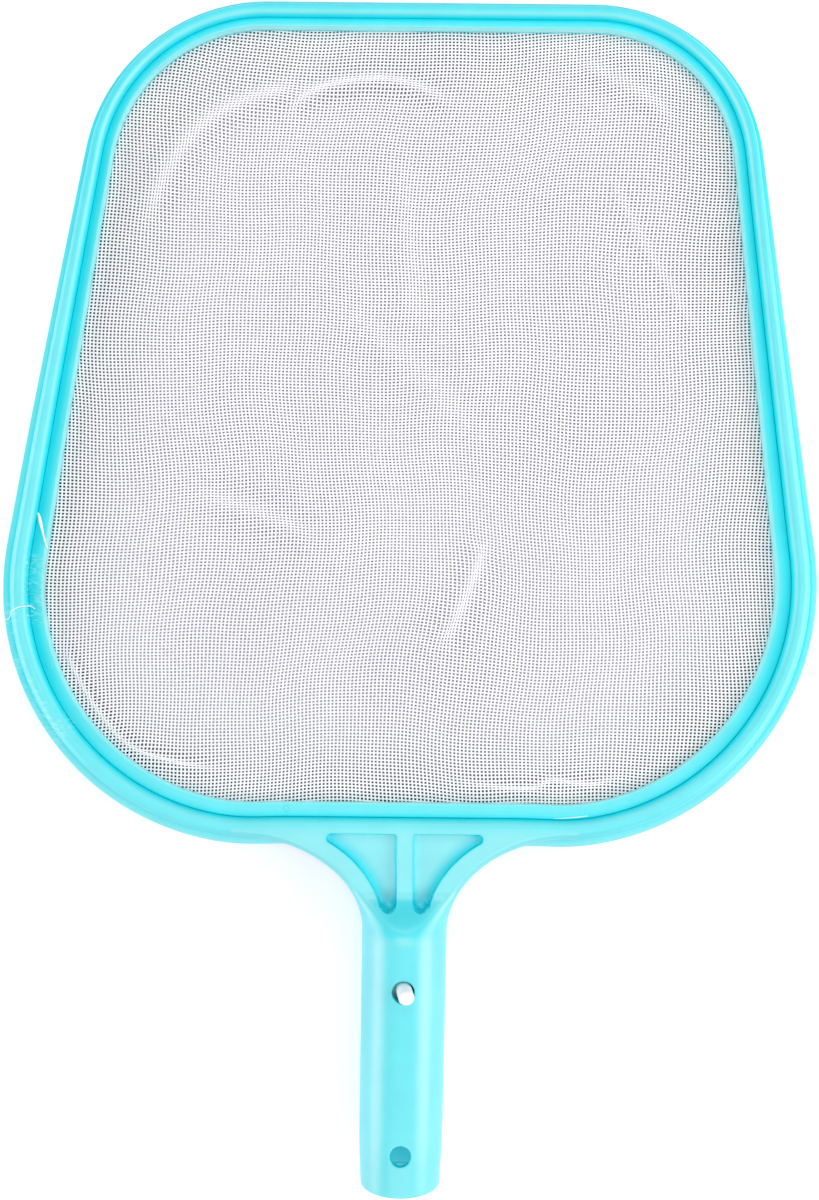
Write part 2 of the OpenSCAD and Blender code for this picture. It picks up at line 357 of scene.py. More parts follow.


# Where the near edge's painted light and shade gives way to the sides', and theirs to the far
# edge's
SIDE_COLOUR_FROM, SIDE_COLOUR_RUN = 130.0, 55.0
FAR_COLOUR_FROM, FAR_COLOUR_RUN = 300.0, 90.0


def swept(stations, section, near=None):
    """A closed surface of a section carried round the belt: points, faces, flow coordinates and the
    painted light and shade in the colour at each point. near gives other near radii for the right
    half."""
    near_r, far_r = section_radii(section)
    z = np.array([row[2] for row in section])
    flat = belt(stations, near_r if near is None else near, far_r + np.zeros((len(stations), 1)))
    count, corners = flat.shape[:2]
    grid = np.concatenate([flat, np.broadcast_to(z, (count, corners))[..., None]], -1)
    points = racked(grid).reshape(-1, 3)
    faces = outward(points, [grid_faces(count, corners, True, True)])
    middle = flat.mean(1)
    along = np.concatenate([[0], np.cumsum(np.hypot(*np.diff(middle, axis=0).T))])
    whole = along[-1] + np.hypot(*(middle[0] - middle[-1]))
    turn = 2 * np.pi * along / whole
    across = np.concatenate([[0], np.cumsum(np.hypot(np.diff(near_r), np.diff(z)))])
    flow = [np.repeat(f(turn) * whole / (2 * np.pi), corners) for f in (np.cos, np.sin)]
    flow = np.stack([*flow, np.tile(across, count)], -1)
    near_deep, side_deep, far_deep = np.array([np.broadcast_to(row[3], 3) for row in section]).T
    y = flat[..., 1]
    deep = mix(side_deep, far_deep, smooth((y - FAR_COLOUR_FROM) / FAR_COLOUR_RUN))
    deep = mix(near_deep, deep, smooth((y - SIDE_COLOUR_FROM) / SIDE_COLOUR_RUN))
    return points, faces, flow * MM, deep.ravel()


EDGE_X = np.concatenate([np.linspace(0, 34, 35), np.linspace(35.5, NEAR_CENTRE[0], 11)])
FINE = belt_stations(EDGE_X, 56, 40, 44, 12)
# Behind the neck the bead's outer half is drawn in up to the first x, and whole from the second
HIDDEN_FROM, HIDDEN_TO = 27.0, 31.0


def hoop():
    """The hoop. Its section runs from the ledge's inner foot, round the bottom edge, over the
    flange, up the bead's wall and dome, down to the groove's floor and back along the ledge.
    Painted shade deepens the colour underneath, in the crease beside the flange and in the groove.
    Painted light makes the near edge's flange and the far edge's inner bead slope lighter."""
    section = [
        ("ring", LEDGE_SHARE, -HALF_THICK + 0.5, 0.4),
        ("ring", LEDGE_SHARE - 0.03, -HALF_THICK + 0.15, 0.3),
        ("ring", LEDGE_SHARE - 0.1, -HALF_THICK, 0.2),
        ("ring", 0.4, -HALF_THICK, 0.2),
        ("rim", 0.3, -HALF_THICK, 0.2),
        ("rim", 0.6, -HALF_THICK, 0.2),
    ]
    for a in np.radians([0, 18, 36, 54, 72, 90]):
        inward, up = EDGE_ROUND / RIM_NEAR * (1 - np.sin(a)), EDGE_ROUND * (1 - np.cos(a))
        section.append(("rim", 1 - inward, -HALF_THICK + up, 0.2))
    section.append(("rim", 1.0, -2.0, 0.3))
    for a in np.radians([0, 30, 60, 90]):
        z = FLANGE_Z - 0.5 * (1 - np.sin(a))
        section.append(("rim", 1 - 0.04 * (1 - np.cos(a)), z, (-0.4, 0.1, 0.1)))
    wall = 1 - FLANGE_SHARE
    # Crease at the bead's foot: painted shade on the sides and the far edge, painted light on the
    # near edge
    section += [
        ("rim", 0.93, FLANGE_Z + 0.05, (-0.45, 0.0, 0.5)),
        ("rim", 0.88, FLANGE_Z + 0.09, (-0.4, 0.0, 0.8)),
        ("rim", 0.83, FLANGE_Z + 0.12, (-0.3, 0.1, 0.9)),
        ("rim", 0.795, FLANGE_Z + 0.15, (-0.2, 0.5, 0.9)),
        ("rim", 0.76, FLANGE_Z + 0.17, (-0.1, 0.8, 0.9)),
        ("rim", wall + 0.03, FLANGE_Z + 0.22, (0.2, 0.8, 0.9)),
        ("rim", wall + 0.01, FLANGE_Z + 0.30, (0.2, 0.8, 0.9)),
        ("rim", wall, FLANGE_Z + 0.5, (0.1, 0.6, 0.8)),
        ("rim", wall, 0.3, (0.0, 0.4, 0.5)),
    ]
    first = len(section)
    # The bead's dome, with a little painted shade at its outer foot
    for a in np.radians(np.linspace(0, 90, 11)):
        x, z = CROWN_SHARE * (1 + np.cos(a)), BEAD_FOOT_Z + BEAD_DOME * np.sin(a)
        thin = 0.15 * np.cos(a) ** 4
        section.append(("rim", x, z, (thin, thin, 0.5)))
    last = len(section)
    # The bead's groove-side slope gets painted shade; on the far edge the middle of that slope gets
    # painted light and the part beside the crown gets painted shade
    for a in np.radians(np.linspace(98, 172, 11)):
        x, z = CROWN_SHARE * (1 + np.cos(a)), BEAD_FOOT_Z + BEAD_DOME * np.sin(a) ** 1.25
        thick = smooth((-np.cos(a) - 0.62) / 0.38)
        slope = float(np.interp(np.degrees(a), [98, 126, 160], [0.5, -0.5, -0.1]))
        section.append(("rim", x, z, (thick, thick, thick + slope)))
    # The groove's floor runs in under the ring's edge, painted with a dark seam shade
    section += [
        ("rim", 0.0, GROOVE_Z - 0.05, 2.0),
        ("ring", 0.023, GROOVE_Z - 0.2, 2.0),
        ("ring", 0.07, GROOVE_Z - 0.25, 2.0),
        ("ring", 0.23, GROOVE_Z - 0.3, 1.0),
        ("ring", 0.25, LEDGE_Z, 0.6),
        ("ring", LEDGE_SHARE - 0.08, LEDGE_Z, 0.5),
        ("ring", LEDGE_SHARE, LEDGE_Z - 0.3, 0.5),
    ]
    # Behind the neck's recesses the bead's outer half is drawn in under the neck's plateau
    near_r = section_radii(section)[0]
    near = np.broadcast_to(near_r, (len(FINE), len(section))).copy()
    behind = (np.arange(len(FINE)) < len(EDGE_X)) & (FINE[:, 0] < HIDDEN_TO)
    covered = behind * (1 - smooth((FINE[:, 0] - HIDDEN_FROM) / (HIDDEN_TO - HIDDEN_FROM)))
    crown_r = GROOVE_NEAR_R + CROWN_SHARE * RIM_NEAR
    drawn = crown_r + (near[:, first - 2 : last] - crown_r) * 0.2
    near[:, first - 2 : last] = mix(near[:, first - 2 : last], drawn, covered[:, None])
    return swept(FINE, section, near)


def retaining_ring():
    """The ring: flat underneath. Its top rises from the groove to a crest beside the inner edge,
    where a small round leads over to the upright inner wall. Painted shade deepens the colour
    beside the groove, and painted light makes the inner round and wall lighter."""
    gap, lip = 0.03, 0.15
    section = [
        (gap + 0.04, RING_FOOT_Z, 0.8),
        (gap, RING_FOOT_Z + 0.2, 0.8),
        (gap, RING_LOW - 0.35, 2.0),
    ]
    section += [
        (gap + 0.03 * (1 - np.cos(a)), RING_LOW - lip * (1 - np.sin(a)), 2 - np.sin(a))
        for a in np.radians([0, 45, 90])
    ]
    # Painted shade across the top, as places and depths for the near edge, the sides and the far
    # edge
    spread = (
        ([0.08, 0.35, 0.6], [0.7, 0.25, 0.0]),
        ([0.2, 0.5, 0.78, 1.0], [1.0, 0.8, 0.45, 0.15]),
        ([0.2, 0.5, 0.78, 1.0], [1.0, 0.85, 0.6, 0.2]),
    )
    for t in np.linspace(0.08, 1, 13):
        x, z = mix(gap + 0.03, CREST_SHARE, t), mix(RING_LOW, RING_TOP, np.sin(t * np.pi / 2))
        section.append((x, z, tuple(float(np.interp(t, *row)) for row in spread)))
    # The round over to the inner wall and the wall itself are painted light; the wall's foot is
    # painted shade
    section += [
        (mix(CREST_SHARE, 1, np.sin(a)), RING_TOP - 0.4 * (1 - np.cos(a)), -0.4)
        for a in np.radians([22, 45, 68, 90])
    ]
    section += [
        (1.0, 0.6, -1.0),
        (1.0, -0.8, -1.0),
        (1.0, RING_FOOT_Z + 0.35, 0.2),
        (0.98, RING_FOOT_Z + 0.1, 0.4),
        (0.93, RING_FOOT_Z, 0.5),
    ]
    return swept(FINE, [("ring", *row) for row in section])


# ---------------------------------------------------------------- neck


def outer_half(y):
    """Half-width of the neck: nearly a quarter ellipse from the handle to the hoop's bead. It
    crosses the hoop's outer edge before it runs out along the bead, and the flange shows
    between."""
    t = np.clip((y - HANDLE_LENGTH) / (WALL_Y - HANDLE_LENGTH), 0, 1)
    return HANDLE_TOP_R + FLARE_X * (1 - np.sqrt(1 - t**FLARE_POWER))


edge_y = WALL_Y - (WALL_Y - HANDLE_LENGTH) * np.linspace(1, 0, 200) ** 2
OUTLINE = np.concatenate(
    [[[HANDLE_TOP_R, 60.0]], np.stack([outer_half(edge_y), edge_y], -1), [[90.0, WALL_Y]]]
)
RECESS_CENTRE = np.array([50.86, 86.0])
RECESS_RX, RECESS_RY = 43.6, 37.2
RECESS_TIP = 93.6
REAR_RECESS_TOP = 114.6


def recess_edges(top):
    """A recess's edge, as the run along the curve and round the tip, and the run up the rib and
    along the top. The curve is an ellipse inside the neck's outline, and every corner is
    rounded."""
    rx, ry = RECESS_RX, RECESS_RY
    tip_r, corner_r, inner_r = 2.7, 1.7, 1.1
    tip = np.array([RIB_HALF + tip_r, RECESS_TIP + tip_r])
    a = np.radians(np.linspace(5, 80, 600))
    curve = RECESS_CENTRE + np.stack([-rx * np.cos(a), ry * np.sin(a)], -1)
    normal = np.stack([np.cos(a) / rx, -np.sin(a) / ry], -1)
    normal /= np.hypot(*normal.T)[:, None]
    # normal points out of the recess, towards the ellipse's centre
    first = np.argmin(np.hypot(*(curve - tip_r * normal - tip).T))
    last = np.argmin(np.abs((curve - corner_r * normal)[:, 1] - (top - corner_r)))
    corner = curve[last] - corner_r * normal[last]
    leave = np.degrees(np.arctan2(*(curve[first] - tip)[::-1])) % 360
    arrive = np.degrees(np.arctan2(*(normal[last])[::-1]))
    round_tip = arc(tip, tip_r, 180, leave if leave > 180 else leave + 360, 14)
    round_corner = arc(corner, corner_r, arrive, 90, 10)
    run = np.concatenate([round_tip, curve[first:last:12], round_corner])
    inner = np.array([RIB_HALF + inner_r, top - inner_r])
    lines = np.concatenate([run[-1:], arc(inner, inner_r, 90, 180, 6), run[:1]])
    return run, lines


def recess_gaps(x, y, top):
    """Whether each point lies in a recess, and its distances from the recess's curved run and from
    its straight lines."""
    run, lines = recess_edges(top)
    points = np.stack([np.abs(x), y], -1)
    within = inside(np.concatenate([run, lines[1:-1]]), points)
    return within, distance_to(run, points), distance_to(lines, points)


def recess_height(x, y, height, top):
    """Height of the neck's surface with its recess. The rib's wall and the top wall are nearly
    upright. The curved wall drops, then runs out in a wide hollow. The upper edges are rounded."""
    within, to_run, to_lines = recess_gaps(x.ravel(), y.ravel(), top)
    hollow = 0.75 * np.clip(1 - to_run / 0.28, 0, 1) + 0.25 * np.clip(1 - to_run / 2.6, 0, 1) ** 2.0
    upright = np.clip(1 - to_lines / 0.4, 0, 1)
    beyond = 1 + np.minimum(to_run, to_lines) / 0.45
    wall = np.where(within, np.maximum(hollow, upright), beyond).reshape(x.shape)
    sunk = height - np.maximum(height - RECESS_FLOOR, 0.5) * (1 - wall)
    # A smooth lower envelope of the two heights rounds the edge
    blend = 0.3
    h = np.clip(0.5 + 0.5 * (height - sunk) / blend, 0, 1)
    return height * (1 - h) + sunk * h - blend * h * (1 - h)


def spread_columns(y, reach, outer, top, edge):
    """Distances across one half of the neck, dense at the rib's side and the recess's curved side.
    Near the handle the columns turn into an even spread round the tube."""
    run, _ = recess_edges(top)
    beyond = run[run[:, 0] > RIB_HALF + 2.5]
    beyond = beyond[np.argsort(beyond[:, 1])]
    side = np.interp(y, beyond[:, 1], beyond[:, 0])
    middle = max(side - 2.6, RIB_HALF + 1.25)
    beside = max(side + 0.5, middle + 1.0)
    marks = (0, RIB_HALF - 0.35, RIB_HALF + 0.75, middle, beside, max(reach, beside + 0.5))
    parts = [
        np.linspace(start, end, count, endpoint=False)
        for start, end, count in zip(marks, marks[1:], (4, 8, 20, 22, 8))
    ]
    shaped = np.concatenate([np.minimum(np.concatenate(parts), reach), edge])
    evenly = outer * np.sin(np.radians(np.linspace(0, 90, len(shaped))))
    return mix(evenly, np.sort(shaped), smooth((y - HANDLE_LENGTH) / 6.5))


def neck():
    """The neck: sections across it from the handle's round tube to the hoop's bead. The upper edge
    is a quarter ellipse by distance from the outline, which shrinks from the tube's radius to the
    bead's, so that tube, plateau and bead run into each other."""
    steps = ((HANDLE_LENGTH, 92.6, 20), (92.6, 98, 30), (98, 112, 36), (112, 117, 26))
    rows = [np.linspace(start, end, count, endpoint=False) for start, end, count in steps]
    rows.append(WALL_Y - 1.83 * np.linspace(1, 0, 14, endpoint=False) ** 2)
    rows = np.concatenate(rows + [np.linspace(WALL_Y, NECK_END, 18)])
    rounding = 14
    lower_x, lower, sides, upper_x, upper = [], [], [], [], []
    for y in rows:
        ramp = smooth((y - HANDLE_LENGTH) / RAMP)
        top_z = mix(HANDLE_TOP_R, HALF_THICK, ramp)
        wide = mix(HANDLE_TOP_R, CROWN_SHARE * RIM_NEAR, ramp)
        deep = mix(HANDLE_TOP_R, BEAD_DOME, ramp)
        outer = float(outer_half(y))
        tucked = 0.02 * (y > HOOP_START)

        # Upper surface, from the centre out to the edge
        fine = np.linspace(0, outer, 500)
        gap = distance_to(OUTLINE, np.stack([fine, np.full(500, y)], -1))
        least = gap[-1]
        aims = least + (wide - least) * (1 - np.cos(np.radians(np.linspace(0, 90, rounding))))
        edge_x = np.interp(aims[::-1], gap[::-1], fine[::-1])
        across = spread_columns(y, edge_x[0], outer, RECESS_TOP, edge_x)
        from_edge = np.minimum(np.interp(across, fine, gap), wide)
        height = top_z - deep + deep * np.sqrt(np.clip(1 - (1 - from_edge / wide) ** 2, 0, 1))
        upper_x.append(across)
        upper.append(height - 0.01 * (y > WALL_Y) * smooth((across - 40) / 12))

        # Lower surface, from the centre out to the outline
        low_wide = mix(HANDLE_TOP_R, EDGE_ROUND, ramp)
        turn = np.radians(np.linspace(90, 0, rounding))
        low_edge = outer - low_wide + low_wide * np.cos(turn)
        across = spread_columns(y, low_edge[0], outer, REAR_RECESS_TOP, low_edge)
        inset = np.clip((across - (outer - low_wide)) / low_wide, 0, 1)
        lower_x.append(across)
        lower.append(-(top_z - low_wide + low_wide * np.sqrt(1 - inset * inset)) + tucked)

        # Side wall, from the lower edge up to the foot of the rounded upper edge
        low_z = lower[-1][-1]
        high_z = mix(0, FLANGE_Z + 0.6, ramp)
        side = np.stack([np.full(6, outer), np.linspace(low_z, high_z, 8)[1:-1]], -1)
        side[:, 1] -= tucked
        sides.append(side)
    upper_x, upper, lower_x, lower, sides = map(np.array, (upper_x, upper, lower_x, lower, sides))
    y = np.broadcast_to(rows[:, None], upper.shape)
    upper = recess_height(upper_x, y, upper, RECESS_TOP)
    lower = -recess_height(lower_x, y, -lower, REAR_RECESS_TOP)
    right_x = np.concatenate([lower_x, sides[:, :, 0], upper_x[:, ::-1]], 1)
    right_z = np.concatenate([lower, sides[:, :, 1], upper[:, ::-1]], 1)
    x = np.concatenate([right_x, -right_x[:, -2:0:-1]], 1)
    z = np.concatenate([right_z, right_z[:, -2:0:-1]], 1)
    y = np.broadcast_to(rows[:, None], x.shape)
    points = racked(np.stack([x, y, z], -1)).reshape(-1, 3)
    return weld(points, tube_faces(*x.shape))


def neck_painted_light_and_shade(points):
    """Painted light and shade on the neck: painted shade at the foot of the recesses' walls, at
    their tips, round their edges, underneath and on the ramp down from the handle; painted light on
    the plateau and a painted highlight where the tube begins."""
    x, y, z = points.T
    within, to_run, to_lines = recess_gaps(x, y, RECESS_TOP)
    foot = bell(to_run / 2.5) + 0.8 * np.exp(-to_lines / 0.5)
    tip = 0.8 * bell((y - 94.5) / 3.0)
    shaded = 1.7 * bell(to_run / 0.4)
    rim = 0.6 * np.exp(-np.minimum(to_run, to_lines) / 0.25)
    deep = np.where(within, np.maximum(np.maximum(foot, tip), shaded), rim)
    deep = np.where(z > 0, np.maximum(deep, ramp_painted_shade(x, y)), 0.1)
    pale = smooth((y - 97.0) / 6.0) * (1 - smooth((y - 118.5) / 3.4))
    pale = pale * (1 - smooth((np.abs(x) - 38) / 14))
    return np.clip(deep, 0, 2) - 0.2 * pale * (1 - smooth(deep / 0.3)) - painted_highlight(x, y) * (z > 0)


def ramp_painted_shade(x, y):
    """Painted shade where the handle runs down into the neck."""
    along = smooth((y - 84.0) / 4.0) * (1 - smooth((y - 96.0) / 4.5))
    return 0.66 * along * np.exp(-((x / 11.0) ** 4))


def painted_highlight(x, y):
    """Painted highlight: how far the colour is painted lighter at the crest where the tube's thin
    wall begins.
    """
    return 0.6 * np.exp(-((x / 3.2) ** 4) - ((y - 85.5) / 1.0) ** 2)


# ---------------------------------------------------------------- handle


def handle_painted_light_and_shade(points):
    """Painted light and shade on the handle: a painted glow of light inside the bore and the inner
    part of the cross holes, painted shade over the rest of the holes and a little round their lips,
    along the middle of the tube's top and on the ramp, and a painted highlight where the tube meets
    the neck."""
    x, y, z = points.T
    x = x - leaning(y)
    from_axis = np.hypot(x, z)
    # Painted shade along the middle of the tube's top
    crown = 0.24 * np.exp(-((x / 7.0) ** 4)) * (1 - smooth((y - 83.0) / 3.0))
    deep = np.where(from_axis < BORE_R + 1.2, 3.0, np.maximum(crown, ramp_painted_shade(x, y)))
    for hole_y, hole_r in (LOWER_HOLE, BUTTON_HOLE):
        past = np.hypot(x, y - hole_y) - hole_r
        deep = np.maximum(deep, np.exp(-np.clip(past, 0, None) / 0.3))
    deep = np.where(y < HANDLE_END + 0.6, np.minimum(deep, 0.5), deep)
    return deep - painted_highlight(x, y) * (z > 0)


def handle_radius(y):
    """The tube's outer radius at a distance from the open end."""
    return np.interp(y, TUBE_Y, TUBE_R)


def handle():
    """The tube. Its outer and inner walls are grids by angle and length. Round each cross hole a
    square block of the grid is replaced by rings that run from the block's edge over a rounded
    lip, down the hole and out again to the inner wall's block."""
    around, block, pitch, lip = 128, 8, 0.7, 0.4
    turn = 2 * np.pi * np.arange(around) / around

    def run(low, high, step):
        return list(np.linspace(low, high, int(round((high - low) / step)) + 1))[1:-1]

    across_block = pitch * np.arange(-block, block + 1)
    low_rows, high_rows = (list(y + across_block) for y, _ in (LOWER_HOLE, BUTTON_HOLE))
    mouth_r = 0.45
    begin = HANDLE_END + mouth_r
    rows = [begin] + run(begin, low_rows[0], 1.4) + low_rows
    rows += run(low_rows[-1], high_rows[0], 1.5) + high_rows
    wall_rows = np.array(rows + run(high_rows[-1], BORE_DEPTH, 1.4) + [BORE_DEPTH])
    points, faces = [], []

    def put(grid, holes=()):
        count, columns = grid.shape[:2]
        quads = grid_faces(count, columns, False, True)
        r, c = np.divmod(np.arange(len(quads)), columns)
        keep = np.ones(len(quads), bool)
        for row, column in holes:
            off = (c - column + block) % columns
            keep &= ~((r >= row - block) & (r < row + block) & (off < 2 * block))
        faces.append(quads[keep] + sum(map(len, points)))
        points.append(grid.reshape(-1, 3))

    def wall(radii, ys):
        radii, ys = np.asarray(radii)[:, None], np.asarray(ys)[:, None]
        return np.stack([radii * np.sin(turn), ys + 0 * turn, radii * np.cos(turn)], -1)

    marks = [
        (int(np.argmin(np.abs(wall_rows - y))), column)
        for y, _ in (LOWER_HOLE, BUTTON_HOLE)
        for column in (0, around // 2)
    ]
    put(wall(handle_radius(wall_rows), wall_rows), holes=marks)
    put(wall(np.full(len(wall_rows), BORE_R), wall_rows), holes=marks)
    tail = np.array([BORE_DEPTH, 83.3, 84.6, HANDLE_LENGTH])
    put(wall(handle_radius(tail), tail))
    # The open end: a rounded outer edge, a flat and a chamfer into the bore
    a = np.radians(np.linspace(0, 90, 7))
    end_r = handle_radius(begin) - mouth_r * (1 - np.cos(a))
    end_y = HANDLE_END + np.r_[mouth_r * (1 - np.sin(a)), 0.0, 0.2, 0.45]
    put(wall(np.r_[end_r, BORE_R + 0.4, BORE_R + 0.12, BORE_R], end_y))
    for radius, y in ((BORE_R, BORE_DEPTH), (HANDLE_TOP_R, HANDLE_LENGTH)):
        put(wall([radius, radius * 0.5], [y, y]))
        faces.append(np.arange(around)[None] + sum(map(len, points)) - around)

    # Steps round a block's edge, in columns and rows from the hole's centre
    there, level = np.arange(-block, block), np.full(2 * block, block)
    angle = 2 * np.pi * np.r_[there, level, -there, -level] / around
    for y0, r0 in (LOWER_HOLE, BUTTON_HOLE):
        for facing in (1, -1):
            edge_y = y0 + pitch * np.r_[-level, there, level, -there]
            rings = []

            def ring(x, y, z):
                rings.append(np.stack([x * facing, y, z * facing], -1))

            outer_x = handle_radius(edge_y) * np.sin(angle)
            psi = np.arctan2(edge_y - y0, outer_x)
            dx, dy = np.cos(psi), np.sin(psi)
            for t in (1.0, 0.75, 0.52, 0.32, 0.15, 0.0):
                x = mix((r0 + lip) * dx, outer_x, t)
                y = mix(y0 + (r0 + lip) * dy, edge_y, t)
                ring(x, y, np.sqrt(handle_radius(y) ** 2 - x * x))
            x, y = r0 * dx, y0 + r0 * dy
            surface = np.sqrt(handle_radius(y) ** 2 - ((r0 + lip) * dx) ** 2)
            for a in np.radians([72, 54, 36, 18, 0]):
                r = r0 + lip * (1 - np.cos(a))
                ring(r * dx, y0 + r * dy, surface - lip * (1 - np.sin(a)))
            bottom = np.sqrt(BORE_R**2 - x * x)
            for t in (0.33, 0.66, 1.0):
                ring(x, y, mix(surface - lip, bottom, t))
            inner_x = BORE_R * np.sin(angle)
            for t in (0.35, 0.7, 1.0):
                x2, y2 = mix(x, inner_x, t), mix(y, edge_y, t)
                ring(x2, y2, np.sqrt(BORE_R**2 - x2 * x2))
            put(np.array(rings))
    return weld(racked(np.concatenate(points)), faces)


# ---------------------------------------------------------------- clip


def clip_arm(side):
    """One arm of the clip, side 1 for the front and -1 for the rear. A flat strip with rounded
    edges springs outwards from the bend and twists a little, so that its button leans to one
    side."""
    # The button leans over the height between the arm and the hole's lip
    arm_z, lip_z = 9.6, 13.3
    button_y = BUTTON_HOLE[0] + 0.3 + (lip_z - arm_z) * np.tan(BUTTON_LEAN)
    length = (button_y - BEND_Y) / np.cos(ARM_ANGLE)
    root = np.array([0.0, BEND_Y, BEND_Z])
    step = np.array([0.0, np.cos(ARM_ANGLE), np.sin(ARM_ANGLE)])
    rise = np.array([0.0, -np.sin(ARM_ANGLE), np.cos(ARM_ANGLE)])
    s = np.concatenate([[-0.8, -0.74, -0.5, -0.1], np.linspace(0.4, length + 4, 40)])
    scale = np.ones(len(s))
    scale[:4] = [0.05, 0.38, 0.78, 0.98]
    twist = ARM_TWIST * smooth(s / length)
    half, thick, edge = CLIP_WIDTH / 2, CLIP_THICK / 2, 0.35
    corner = []
    for cx, cz, start in ((1, 1, 0), (-1, 1, 90), (-1, -1, 180), (1, -1, 270)):
        a = np.radians(start + np.linspace(0, 90, 5))
        at_x, at_z = cx * (half - edge) + edge * np.cos(a), cz * (thick - edge) + edge * np.sin(a)
        corner.append(np.stack([at_x, at_z], -1))
    corner = np.concatenate(corner)
    u = corner[:, 0] * np.ones((len(s), 1))
    v = corner[:, 1] * scale[:, None]
    cos, sin = np.cos(twist)[:, None], np.sin(twist)[:, None]
    u, v = u * cos + v * sin, -u * sin + v * cos
    drift = BUTTON_DRIFT * smooth(s / length)
    line = root + s[:, None, None] * step
    sideways = (u + drift[:, None])[..., None] * np.array([1.0, 0, 0])
    points, faces = capped(line + sideways + v[..., None] * rise)
    foot = root + length * step + np.array([BUTTON_DRIFT, 0, 0])
    lean = np.array([np.tan(ARM_TWIST), -np.tan(BUTTON_LEAN), 1.0])
    lean /= np.linalg.norm(lean)
    tall = (BUTTON_REACH - foot[2]) / lean[2]
    # The button: a foot, a fillet and a rounded tip
    fillet, tip_r = 0.45, 0.95
    foot_r = BUTTON_R + 0.5
    profile = [(0.0, 0.0), (foot_r, 0.3), (foot_r, 0.85)]
    for a in np.radians(np.linspace(0, 90, 6)):
        profile.append((BUTTON_R + fillet * (1 - np.sin(a)), 1.35 - fillet * np.cos(a)))
    for a in np.radians(np.linspace(0, 90, 10)):
        profile.append((BUTTON_R - tip_r + tip_r * np.cos(a), tall - tip_r + tip_r * np.sin(a)))
    button, button_faces = turned(profile + [(0.0, tall)], foot, lean)
    faces = faces + [g + len(points) for g in button_faces]
    return np.concatenate([points, button]) * np.array([side, 1.0, side]), faces


# ---------------------------------------------------------------- net


PITCH_X, PITCH_Y = 1.35, 1.17
COLUMNS, ROWS = 205, 254
NET_MIDDLE_Y = 270.3
WARP_WIDE, WEFT_WIDE, THREAD_HIGH = 0.60, 0.55, 0.26
ROUNDNESS = 0.45
# How far inside the groove the net ends, at the near and the far corners
NET_EDGE = (1.9, 1.5)


def net_surface(u, v):
    """Where a crossing of the net lies: the weave wanders sideways in long waves."""
    x = (
        u
        + 2.3 * np.sin(v / 31.0 + 0.6) * np.cos(u / 70.0 + 0.4)
        + 1.1 * np.sin(v / 15.0 + u / 46.0)
        + 0.25 * np.sin(v / 6.1 - u / 17.0)
    )
    y = (
        v
        + 2.5 * np.sin(u / 29.0 - 0.9) * np.cos(v / 62.0 - 0.2)
        + 1.1 * np.sin(u / 14.5 - v / 40.0)
        + 0.22 * np.sin(u / 5.3 + v / 21.0)
    )
    return x, y


# Soft ridges of the net: height, width, how far its threads close up, and the x and y of points
# along the ridge
RIDGES = (
    (1.0, 5.2, 0.32, (-97, 332, -93, 347, -86, 362, -76, 375, -63, 383, -48, 388, -34, 391)),
    (1.0, 3.6, 0.40, (-47, 374, -42, 383, -33, 389, -20, 392, -6, 392, 6, 388, 20, 380)),
    (0.5, 4.2, 0.16, (60, 400, 67, 397, 78, 391, 89, 384, 97, 373)),
    (0.5, 3.2, 0.22, (73, 358, 77, 348, 84, 335, 93, 319, 106, 298)),
    (0.6, 5.0, 0.22, (-77, 241, -62, 237, -48, 232, -31, 225)),
    (1.0, 4.8, 0.40, (29, 226, 26, 217, 22, 206, 17, 195, 10, 182)),
    (0.8, 2.2, 0.52, (-124, 188, -119, 177, -110, 162, -98, 149.5, -81, 144, -58, 140.5)),
    (0.7, 2.2, 0.38, (10, 139.5, 31, 136.5, 45, 136, 52, 139, 60, 138, 69, 138, 83, 144)),
    (0.2, 6.5, 0.12, (-3, 368, -1, 345, 1, 325, 2, 300)),
    (0.2, 7.0, 0.12, (-25, 312, -10, 298, 5, 285, 28, 260)),
)


def ridge_at(spine, width, points):
    """Steps to the points from a ridge's smooth line, and how much of the ridge each point takes:
    a bell across the line that fades out towards both of its ends."""
    away, along = away_from(through(np.reshape(spine, (-1, 2)).astype(float), 5), points)
    part = np.exp(-(away**2).sum(1) / width**2)
    return away, part * smooth(along / 0.22) * smooth((1 - along) / 0.22)


def closed_up(x, y):
    """Draws the crossings near each ridge towards its line, so that its threads lie close
    together."""
    points = np.stack([x.ravel(), y.ravel()], -1)
    for _, width, share, spine in RIDGES:
        away, part = ridge_at(spine, width, points)
        points = points - share * part[:, None] * away
    return points[:, 0].reshape(x.shape), points[:, 1].reshape(x.shape)


def net_height(x, y, from_ring):
    """Height of the net's middle: the clamp's height, a sag that grows inwards, and the ridges."""
    sag = smooth(from_ring / 75.0) * mix(4.2, 2.0, smooth((y - 250) / 150))
    waves = 0.45 * np.sin(x / 17.0 + y / 43.0) * np.sin(y / 23.0 - x / 61.0)
    height = -sag + waves * smooth(from_ring / 25.0)
    points = np.stack([x.ravel(), y.ravel()], -1)
    for rise, width, _, spine in RIDGES:
        part = ridge_at(spine, width, points)[1].reshape(x.shape)
        height = height + rise * part * smooth(from_ring / 7.0)
    return (LEDGE_Z + RING_FOOT_Z) / 2 + height


